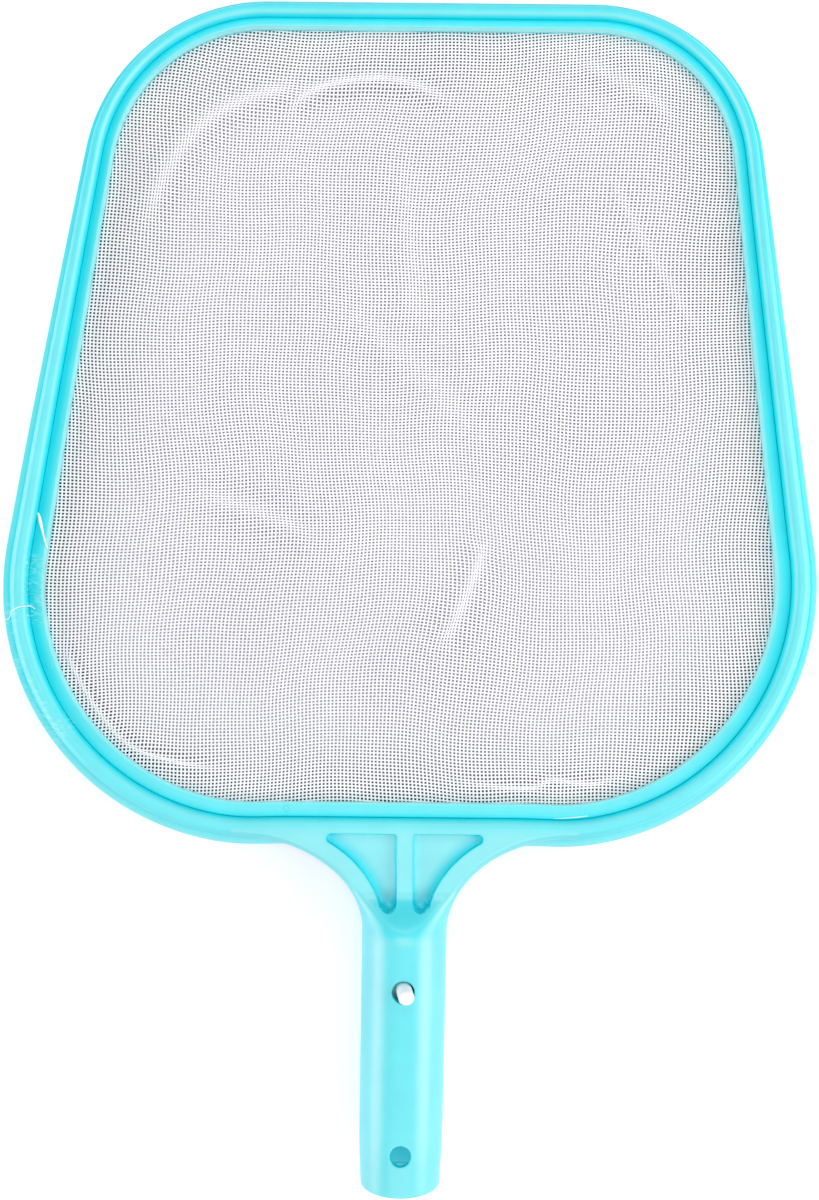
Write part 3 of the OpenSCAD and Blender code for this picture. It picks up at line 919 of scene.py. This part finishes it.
def net_pieces():
    """The woven net in four pieces. Warp and weft cross over and under by turns, so one crossing
    is the repeat: a flat four-sided thread with one ring of points at each crossing. The threads
    are pressed flat in the clamp."""
    u = (np.arange(COLUMNS) - (COLUMNS - 1) / 2) * PITCH_X
    v = NET_MIDDLE_Y + (np.arange(ROWS) - (ROWS - 1) / 2) * PITCH_Y
    u, v = np.meshgrid(u, v, indexing="ij")
    x, y = net_surface(u, v)
    flat = np.stack([x.ravel(), y.ravel()], -1)
    held = inside(outline_inside(*NET_EDGE), flat).reshape(x.shape)
    from_ring = depth_inside(outline_inside(RING_NEAR, RING_FAR), flat).reshape(x.shape)
    place = racked(np.stack([x, y], -1))
    x, y = closed_up(place[..., 0], place[..., 1])
    z = net_height(x, y, np.maximum(from_ring, 0))
    press = mix(0.3, 1.0, smooth((from_ring - 0.2) / 1.6))
    i, j = np.indices(x.shape)
    over = np.where((i + j) % 2 == 0, 1.0, -1.0) * THREAD_HIGH * 0.5 * press

    left, near = i < COLUMNS // 2, j < int(ROWS * 0.46)
    pieces = []
    for name, mine in (
        ("net_near_left", left & near & held),
        ("net_near_right", ~left & near & held),
        ("net_far_left", left & ~near & held),
        ("net_far_right", ~left & ~near & held),
    ):
        points, faces, normals, total = [], [], [], 0
        for warp in (True, False):
            centre = np.stack([x, y, z + (over if warp else -over)], -1)
            across = np.zeros_like(centre)
            across[..., 0 if warp else 1] = (WARP_WIDE if warp else WEFT_WIDE) / 2
            up = np.zeros_like(centre)
            up[..., 2] = THREAD_HIGH / 2 * press * 0.96
            one, other = centre + across, centre - across
            ring = np.stack([one + up, other + up, other - up, one - up], 2)
            index = np.arange(x.size).reshape(x.shape) * 4
            axis = 1 if warp else 0
            # Shading directions lean out by ROUNDNESS at the thread's edges and square to its run
            run = np.gradient(centre, axis=axis)
            run /= np.linalg.norm(run, axis=-1, keepdims=True)
            side = across / np.linalg.norm(across, axis=-1, keepdims=True) * ROUNDNESS
            rise = np.array([0.0, 0.0, 1.0])
            facing = np.stack([side + rise, rise - side, -side - rise, side - rise], 2)
            facing -= (facing * run[:, :, None]).sum(-1, keepdims=True) * run[:, :, None]
            facing /= np.linalg.norm(facing, axis=-1, keepdims=True)
            n = index.shape[axis]
            first, second = np.arange(n - 1), np.arange(1, n)
            link = np.take(mine, first, axis) & np.take(held, second, axis)
            a, b = np.take(index, first, axis)[link], np.take(index, second, axis)[link]
            k = np.arange(4)
            k2 = (k + 1) % 4
            corners = [a[:, None] + k, a[:, None] + k2, b[:, None] + k2, b[:, None] + k]
            quads = np.stack(corners, -1).reshape(-1, 4)
            begins, stops = np.setdiff1d(a, b), np.setdiff1d(b, a)
            caps = np.concatenate([begins[:, None] + k[::-1], stops[:, None] + k])
            used, back = np.unique(np.concatenate([quads, caps]), return_inverse=True)
            points.append(ring.reshape(-1, 3)[used])
            faces.append(outward(points[-1], [back.reshape(-1, 4)])[0] + total)
            normals.append(facing.reshape(-1, 3)[used])
            total += len(used)
        size = (np.ptp(u[mine]) + PITCH_X, np.ptp(v[mine]) + PITCH_Y)
        area = mine.sum() * PITCH_X * PITCH_Y
        mesh = (np.concatenate(points), [np.concatenate(faces)], np.concatenate(normals))
        pieces.append((name, *mesh, size, area))
    return pieces


# A loose end of thread that lies over the rim, a fold of the net's edge caught under the ring,
# and a sliver of the edge that shows in the groove along the near edge. The last number of a
# knot with four is its radius.
LOOSE_THREAD = (
    (-144.1, 194.2, -1.2),
    (-143.0, 194.1, -0.45),
    (-141.9, 194.3, -0.35),
    (-140.9, 195.6, 1.1),
    (-139.9, 196.9, 3.0),
    (-137.6, 198.1, 4.4),
    (-135.6, 198.7, 4.0),
    (-134.2, 198.9, 2.4),
    (-133.2, 198.7, 1.65),
    (-131.8, 197.9, 2.25),
)
NET_FOLD = (
    (-131.8, 232.2, 1.2, 0.3),
    (-131.2, 230.4, 1.5, 0.55),
    (-130.6, 228.4, 1.8, 0.6),
    (-130.0, 226.2, 1.95, 0.42),
    (-129.4, 224.0, 2.0, 0.3),
    (-128.7, 221.6, 2.0, 0.26),
    (-128.0, 219.4, 1.3, 0.22),
)
SLIVER = (
    (66.0, 127.0, 1.2, 0.08),
    (62.0, 126.45, 1.3, 0.14),
    (57.0, 125.95, 1.3, 0.12),
    (52.0, 125.7, 1.2, 0.06),
)


def through(knots, steps):
    """A smooth chain through knots, with the same number of steps between every two."""
    padded = np.concatenate([2 * knots[:1] - knots[1:2], knots, 2 * knots[-1:] - knots[-2:-1]])
    t = np.linspace(0, 1, steps, endpoint=False)[:, None]
    out = []
    for k in range(1, len(padded) - 2):
        a, b, c, d = padded[k - 1 : k + 3]
        bend = 2 * b + (c - a) * t + (2 * a - 5 * b + 4 * c - d) * t**2
        out.append(0.5 * (bend + (3 * b - a - 3 * c + d) * t**3))
    return np.concatenate(out + [knots[-1:]])


def strand(knots, radius, squash=1.0):
    """A closed thread or roll of cloth along a smooth chain through knots of (x, y, z), or (x, y,
    z, radius): a ring of points round each spot, square to the chain and pressed by squash."""
    path = through(np.array(knots), 8)
    centres = path[:, :3]
    radii = path[:, 3] if path.shape[1] > 3 else np.full(len(path), radius)
    radii[[0, -1]] *= 0.5
    heading = np.gradient(centres, axis=0)
    heading /= np.linalg.norm(heading, axis=1)[:, None]
    across = np.cross(heading, [0.0, 0.0, 1.0])
    across /= np.linalg.norm(across, axis=1)[:, None]
    up = np.cross(across, heading)
    a, radii = 2 * np.pi * np.arange(8)[:, None] / 8, radii[:, None, None]
    grid = centres[:, None] + radii * np.cos(a) * across[:, None]
    return capped(grid + squash * radii * np.sin(a) * up[:, None])


# ---------------------------------------------------------------- materials


def linear(code):
    """Linear colour from an sRGB hex code."""
    values = [int(code[k : k + 2], 16) / 255 for k in (1, 3, 5)]
    parts = (v / 12.92 if v <= 0.04045 else ((v + 0.055) / 1.055) ** 2.4 for v in values)
    return (*parts, 1.0)


def add(tree, kind, inputs=None, stops=(), **settings):
    """Adds a shader node. An input's value is a number, a colour, or an output to link, where a
    node stands for its first output. stops are a colour ramp's places and sRGB colours."""
    made = tree.nodes.new("ShaderNode" + kind)
    for name, value in settings.items():
        setattr(made, name, value)
    for name, value in (inputs or {}).items():
        if isinstance(value, bpy.types.Node):
            value = value.outputs[0]
        if isinstance(value, bpy.types.NodeSocket):
            tree.links.new(value, made.inputs[name])
        else:
            made.inputs[name].default_value = value
    if stops:
        first, last = made.color_ramp.elements
        first.position, last.position = stops[0][0], stops[-1][0]
        first.color, last.color = linear(stops[0][1]), linear(stops[-1][1])
    for place, code in stops[1:-1]:
        made.color_ramp.elements.new(place).color = linear(code)
    return made


def new_material(name):
    """An empty node material."""
    material = bpy.data.materials.new(name)
    material.use_nodes = True
    material.node_tree.nodes.clear()
    return material, material.node_tree


# Places on the moulding, in metres
WRINKLED = ((-0.1318, 0.2130, 0.0015), (-0.1318, 0.2050, 0.0015), (-0.1312, 0.1970, 0.0015))
SCUFFED = (
    (-0.1413, 0.1939, 0.0),
    (-0.1388, 0.1815, 0.0),
    (-0.1344, 0.1691, 0.0),
    (-0.1290, 0.1618, 0.0),
    (-0.1227, 0.1550, 0.0),
)
GATE_MARKS = ((-0.1267, 0.1781, 0.0016), (-0.0418, 0.1285, 0.0016))
PAINTED_LIGHT_AND_WEAR_WHITE = "#A8FAFC"


def near_spots(tree, place, spots, ring, reach, core):
    """1 on a circle of radius ring round any of the spots, falling to 0 at the reach from it, with
    a full core of its own width."""
    nearest = None
    for spot in spots:
        away = add(tree, "VectorMath", {0: place, 1: spot}, operation="DISTANCE").outputs["Value"]
        off = add(tree, "Math", {0: away, 1: ring}, operation="SUBTRACT")
        off = add(tree, "Math", {0: off}, operation="ABSOLUTE")
        if nearest is not None:
            off = add(tree, "Math", {0: nearest, 1: off}, operation="MINIMUM")
        nearest = off
    fall = {"Value": nearest, "From Min": core, "From Max": reach, "To Min": 1.0, "To Max": 0.0}
    return add(tree, "MapRange", fall)


def moulded_polypropylene(name, flows):
    """Injection-moulded turquoise polypropylene: slightly cloudy, satin, with a fine mould grain,
    and painted light and shade from the deep attribute. With flows it also has faint flow lines
    along the rim, and the marks of wear and moulding."""
    material, tree = new_material(name)
    place = add(tree, "TexCoord").outputs["Object"]
    # Cloudiness of the plastic, patches about 12 mm across
    tone = add(tree, "TexNoise", {"Vector": place, "Scale": 80.0, "Detail": 3.0})
    # Painted light and shade: the deep attribute paints the colour deeper where shade falls and
    # lighter where light falls
    deep = add(tree, "Attribute", attribute_name="deep").outputs["Fac"]
    # Mould grain, drawn at 0.6 mm where the real one is finer, so that it shows
    grain = add(tree, "TexNoise", {"Vector": place, "Scale": 1600.0, "Detail": 3.0})
    normal = add(tree, "Bump", {"Height": grain, "Strength": 0.12, "Distance": 0.00006})
    middle = {"From Min": 0.3, "From Max": 0.7}
    rough = add(tree, "MapRange", {"Value": grain, **middle, "To Min": 0.30, "To Max": 0.40})
    if flows:
        along = add(tree, "Attribute", attribute_name="flow").outputs["Vector"]
        # Flow lines about 40 mm long and 0.7 mm apart
        drawn = add(tree, "Mapping", {"Vector": along, "Scale": (25.0, 25.0, 1400.0)})
        streak = add(tree, "TexNoise", {"Vector": drawn, "Scale": 1.0, "Detail": 2.0})
        shade = add(tree, "MapRange", {"Value": streak, **middle, "To Min": -0.1, "To Max": 0.1})
        tone = add(tree, "Math", {0: tone, 1: shade}, operation="ADD")
        lines = {"Height": streak, "Strength": 0.45, "Distance": 0.0001, "Normal": normal}
        normal = add(tree, "Bump", lines)
        # Wrinkles where the net was caught under the ring, and scuffs along the outer edge
        turn = {"Rotation": (0.0, 0.0, 0.6), "Scale": (0.4, 1.3, 1.0)}
        slanted = add(tree, "Mapping", {"Vector": place, **turn})
        rubbed = add(tree, "TexNoise", {"Vector": slanted, "Scale": 900.0, "Detail": 3.0})
        patches = []
        for spots, radius, lift in ((WRINKLED, 0.0055, 0.0007), (SCUFFED, 0.0075, 0.0002)):
            patches.append(near_spots(tree, place, spots, 0.0, radius, radius * 0.6))
            marks = {"Strength": patches[-1], "Distance": lift, "Normal": normal}
            normal = add(tree, "Bump", {"Height": rubbed, **marks})
        whitened = add(tree, "Math", {0: patches[0], 1: patches[1]}, operation="MAXIMUM")
        rubs = {"Value": rubbed, "From Min": 0.48, "From Max": 0.66, "To Max": 0.5}
        worn = add(tree, "MapRange", rubs)
        whitened = add(tree, "Math", {0: whitened, 1: worn}, operation="MULTIPLY")
        # Round gate marks on the ring
        mark = near_spots(tree, place, GATE_MARKS, 0.0009, 0.0005, 0.0)
        dent = {"Height": mark, "Strength": 0.8, "Distance": 0.00025, "Normal": normal}
        normal = add(tree, "Bump", dent)
    level = add(tree, "MapRange", {"Value": deep, "From Min": -1.0, "From Max": 3.0})
    # From a painted light tone on faces turned to the lamps, over the plain colour, a painted
    # deeper shade and a painted dark shade in seams, to a painted glow of light inside the bore
    codes = (PAINTED_LIGHT_AND_WEAR_WHITE, "#5EEEF7", "#12E6F4", "#10B4C6", "#00F2FF")
    depth = add(tree, "ValToRGB", {"Fac": level}, [(k / 4, code) for k, code in enumerate(codes)])
    cloudy = add(tree, "ValToRGB", {"Fac": tone}, ((0.3, "#F4F9FA"), (0.7, "#FFFFFF")))
    parts = {0: 1.0, 6: depth, 7: cloudy}
    colour = add(tree, "Mix", parts, data_type="RGBA", blend_type="MULTIPLY").outputs[2]
    if flows:
        parts = {0: whitened, 6: colour, 7: linear(PAINTED_LIGHT_AND_WEAR_WHITE)}
        colour = add(tree, "Mix", parts, data_type="RGBA").outputs[2]
    # The shine fades where the painted shade is deep
    fade = {"From Min": 0.0, "From Max": 1.0, "To Min": 1.0, "To Max": 0.35}
    shader = add(
        tree,
        "BsdfPrincipled",
        {
            "Base Color": colour,
            "Roughness": rough,
            "IOR": 1.5 if flows else 1.7,
            "Specular IOR Level": add(tree, "MapRange", {"Value": deep, **fade}),
            "Specular Tint": linear("#FFB3A2"),
            "Normal": normal,
        },
    )
    add(tree, "OutputMaterial", {"Surface": shader})
    return material


def polyester_thread():
    """Drawn white polyester thread: bright and smooth, a little shiny, with slight differences in
    tone over the net."""
    material, tree = new_material("polyester thread")
    place = add(tree, "TexCoord").outputs["Object"]
    patches = add(tree, "TexNoise", {"Vector": place, "Scale": 30.0, "Detail": 2.0})
    white = add(tree, "ValToRGB", {"Fac": patches}, ((0.3, "#FBFAFF"), (0.7, "#FFFEFF")))
    shader = add(tree, "BsdfPrincipled", {"Base Color": white, "Roughness": 0.45, "IOR": 1.57})
    add(tree, "OutputMaterial", {"Surface": shader})
    return material


def moulded_nylon():
    """Moulded white nylon: milky, with a soft shine, and painted shade, a dark teal, where it sits
    inside the bore.
    """
    material, tree = new_material("moulded nylon")
    place = add(tree, "TexCoord").outputs["Object"]
    grain = add(tree, "TexNoise", {"Vector": place, "Scale": 900.0, "Detail": 2.0})
    # Distance from the handle's axis, which lies along Y
    level = add(tree, "VectorMath", {0: place, 1: (1.0, 0.0, 1.0)}, operation="MULTIPLY")
    depth = add(tree, "VectorMath", {0: level}, operation="LENGTH").outputs["Value"]
    # Painted shade: within the bore's radius the white gives way to a dark teal
    wall = {"From Min": 0.0104, "From Max": 0.0130, "To Min": 0.0, "To Max": 1.0}
    out = add(tree, "MapRange", {"Value": depth, **wall}, interpolation_type="SMOOTHSTEP")
    white = add(tree, "ValToRGB", {"Fac": grain}, ((0.3, "#F0F2F4"), (0.7, "#F8F8FA")))
    colour = add(tree, "Mix", {0: out, 6: linear("#5E9FA4"), 7: white}, data_type="RGBA")
    bump = add(tree, "Bump", {"Height": grain, "Strength": 0.1, "Distance": 0.00005})
    milky = {"Base Color": colour.outputs[2], "Roughness": 0.38, "IOR": 1.53, "Normal": bump}
    add(tree, "OutputMaterial", {"Surface": add(tree, "BsdfPrincipled", milky)})
    return material


# ---------------------------------------------------------------- pieces

frame_plastic = moulded_polypropylene("moulded polypropylene hoop", True)
body_plastic = moulded_polypropylene("moulded polypropylene handle", False)
thread = polyester_thread()
nylon = moulded_nylon()


def finish(piece, material, body, node_name=None):
    """Gives a piece its material and body, and hides the CAD node it stands for."""
    piece.data.materials.append(material)
    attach(piece, body)
    if node_name:
        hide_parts(node_name)


for name, build, node_name, slot in (
    ("hoop_moulding", hoop, "hoop", "frame_plastic"),
    ("ring_moulding", retaining_ring, "retaining_ring", "ring_plastic"),
):
    points, faces, flow, deep = build()
    piece = make_mesh(name, points, faces, sharp=50)
    store(piece, "flow", flow)
    # The deep attribute carries the painted light and shade
    store(piece, "deep", deep)
    finish(piece, frame_plastic, "frame", node_name)

for name, build, painted_light_and_shade, node_name in (
    ("neck_moulding", neck, neck_painted_light_and_shade, "neck"),
    ("handle_moulding", handle, handle_painted_light_and_shade, "handle"),
):
    points, faces = build()
    piece = make_mesh(name, points, faces, mend=True, sharp=50)
    store(piece, "deep", painted_light_and_shade(points))
    finish(piece, body_plastic, "frame", node_name)

for name, points, faces, normals, size, area in net_pieces():
    piece = make_mesh(name, points, faces, normals=normals)
    finish(piece, thread, "frame", "net")

piece = make_mesh("net_loose_thread", *strand(LOOSE_THREAD, 0.18))
finish(piece, thread, "frame")
for name, knots in (("net_caught_fold", NET_FOLD), ("net_sliver", SLIVER)):
    piece = make_mesh(name, *strand(knots, 0.5, 0.45))
    finish(piece, thread, "frame")

for name, side, body in (("front", 1.0, "front_arm"), ("rear", -1.0, "rear_arm")):
    piece = make_mesh("clip_" + name, *clip_arm(side), sharp=50)
    finish(piece, nylon, body, "clip_arm_" + name)

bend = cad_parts["clip_bend"]
bend.data.materials.clear()
bend.data.materials.append(nylon)

# ---------------------------------------------------------------- floor

# The floor touches the rear button's tip and the hoop's far edge underneath, at (y, z)
NEAR_TOUCH, FAR_TOUCH = (66.0, -19.3), (420.0, -4.3)
slope = (FAR_TOUCH[1] - NEAR_TOUCH[1]) / (FAR_TOUCH[0] - NEAR_TOUCH[0])
far_out = np.array([0, 20, 60, 140, 300, 600, 1000, 1500, 2200, 3000.0])
xs = np.concatenate([-170 - far_out[::-1], np.arange(-168, 169, 2.0), 170 + far_out])
ys = np.concatenate([96 - far_out[::-1], np.arange(98, 436, 2.0), 438 + far_out])
x, y = (grid.ravel() for grid in np.meshgrid(xs, ys, indexing="ij"))
flat = np.stack([x, y], -1)
floor_points = np.stack([x, y, NEAR_TOUCH[1] + slope * (y - NEAR_TOUCH[0])], -1)
floor = make_mesh("floor", floor_points, [grid_faces(len(xs), len(ys))[:, ::-1]])
from_ring = depth_inside(racked(outline_inside(RING_NEAR, RING_FAR)), flat)
# Painted shade under the hoop and the net, black under the ring and lighter towards the net's
# middle, and a glow far out, where the lamps' light gives out
tone = mix(0.0, 0.81, smooth((from_ring + 2.0) / 36.0) ** 0.7)
tone = np.maximum(tone, smooth((-from_ring - 4.0) / 6.5))
glow = mix(0.36, 1.0, smooth((np.hypot(*(flat - [0.0, 210.0]).T) - 600.0) / 1000.0))
store(floor, "tone", tone)
store(floor, "glow", glow * smooth((tone - 0.9) / 0.1))


def seen_rays(tree):
    """1 for a ray from the camera, or one that comes to it by way of gloss or a clear piece."""
    rays = add(tree, "LightPath").outputs
    first = {0: rays["Is Camera Ray"], 1: rays["Is Glossy Ray"]}
    seen = add(tree, "Math", first, operation="MAXIMUM")
    return add(tree, "Math", {0: seen, 1: rays["Is Transmission Ray"]}, operation="MAXIMUM")


material, tree = new_material("white table with painted shade")
tone = add(tree, "Attribute", attribute_name="tone").outputs["Fac"]
glow = add(tree, "Attribute", attribute_name="glow").outputs["Fac"]
lift = add(tree, "Math", {0: seen_rays(tree), 1: glow}, operation="MULTIPLY")
# Painted shadow: the floor's colour runs from black to white by the painted tone attribute
painted_shade_greys = {0: tone, 6: linear("#000000"), 7: linear("#F0EEFF")}
matt = add(tree, "BsdfDiffuse", {"Color": add(tree, "Mix", painted_shade_greys, data_type="RGBA").outputs[2]})
lit = add(tree, "Emission", {"Color": linear("#FFFFFF"), "Strength": lift})
add(tree, "OutputMaterial", {"Surface": add(tree, "AddShader", {0: matt, 1: lit})})
floor.data.materials.append(material)

# ---------------------------------------------------------------- light and camera

world = bpy.data.worlds.new("studio")
bpy.context.scene.world = world
world.use_nodes = True
tree = world.node_tree
tree.nodes.clear()
lit = add(tree, "Background", {"Color": linear("#FFFFFF"), "Strength": 0.25})
shown = add(tree, "Background", {"Color": linear("#FFFFFF"), "Strength": 1.0})
both = add(tree, "MixShader", {0: seen_rays(tree), 1: lit, 2: shown})
add(tree, "OutputWorld", {"Surface": both})


def area_light(name, place, size, radiance):
    """A soft rectangular lamp in metres, turned to face the middle of the object. Its power
    follows from the brightness of its face."""
    data = bpy.data.lights.new(name, "AREA")
    data.shape = "RECTANGLE"
    data.size, data.size_y = size
    data.energy = radiance * np.pi * size[0] * size[1]
    lamp = bpy.data.objects.new(name, data)
    lamp.location = place
    heading = Vector((0.0, 0.2, 0.0)) - Vector(place)
    lamp.rotation_euler = heading.to_track_quat("-Z", "Y").to_euler()
    lamp.visible_camera = False
    bpy.context.scene.collection.objects.link(lamp)


for softbox in (
    ("overhead softbox", (0.0, 0.25, 1.35), (0.9, 0.8), 1.3),
    ("far softbox", (0.0, 1.25, 1.0), (1.3, 0.4), 2.7),
    ("near softbox", (0.0, -0.75, 1.0), (1.3, 0.4), 2.3),
    ("left softbox", (-1.15, 0.1, 0.36), (1.5, 0.7), 2.5),
    ("right softbox", (1.08, 0.1, 0.60), (1.5, 0.8), 2.9),
):
    area_light(*softbox)

# The camera stands above the hoop, in metres, tilted towards the far end and rolled a little
CAMERA_PLACE = np.array([0.00082, 0.1860, 0.4272])
CAMERA_TILT, CAMERA_ROLL = np.radians(2.2), np.radians(0.565)
forward = np.array([0, np.sin(CAMERA_TILT), -np.cos(CAMERA_TILT)])
level_up = np.array([0, np.cos(CAMERA_TILT), np.sin(CAMERA_TILT)])
level_right = np.array([1.0, 0, 0])
right = np.cos(CAMERA_ROLL) * level_right + np.sin(CAMERA_ROLL) * level_up
up = -np.sin(CAMERA_ROLL) * level_right + np.cos(CAMERA_ROLL) * level_up
lens = bpy.data.cameras.new("camera")
lens.sensor_width = lens.lens = 36.0
lens.clip_start = 0.01
camera = bpy.data.objects.new("camera", lens)
turned_to = np.stack([right, up, -forward, CAMERA_PLACE], -1)
camera.matrix_world = Matrix([*turned_to.tolist(), [0, 0, 0, 1]])
bpy.context.scene.collection.objects.link(camera)
bpy.context.scene.camera = camera
bpy.context.scene.view_settings.view_transform = "Standard"
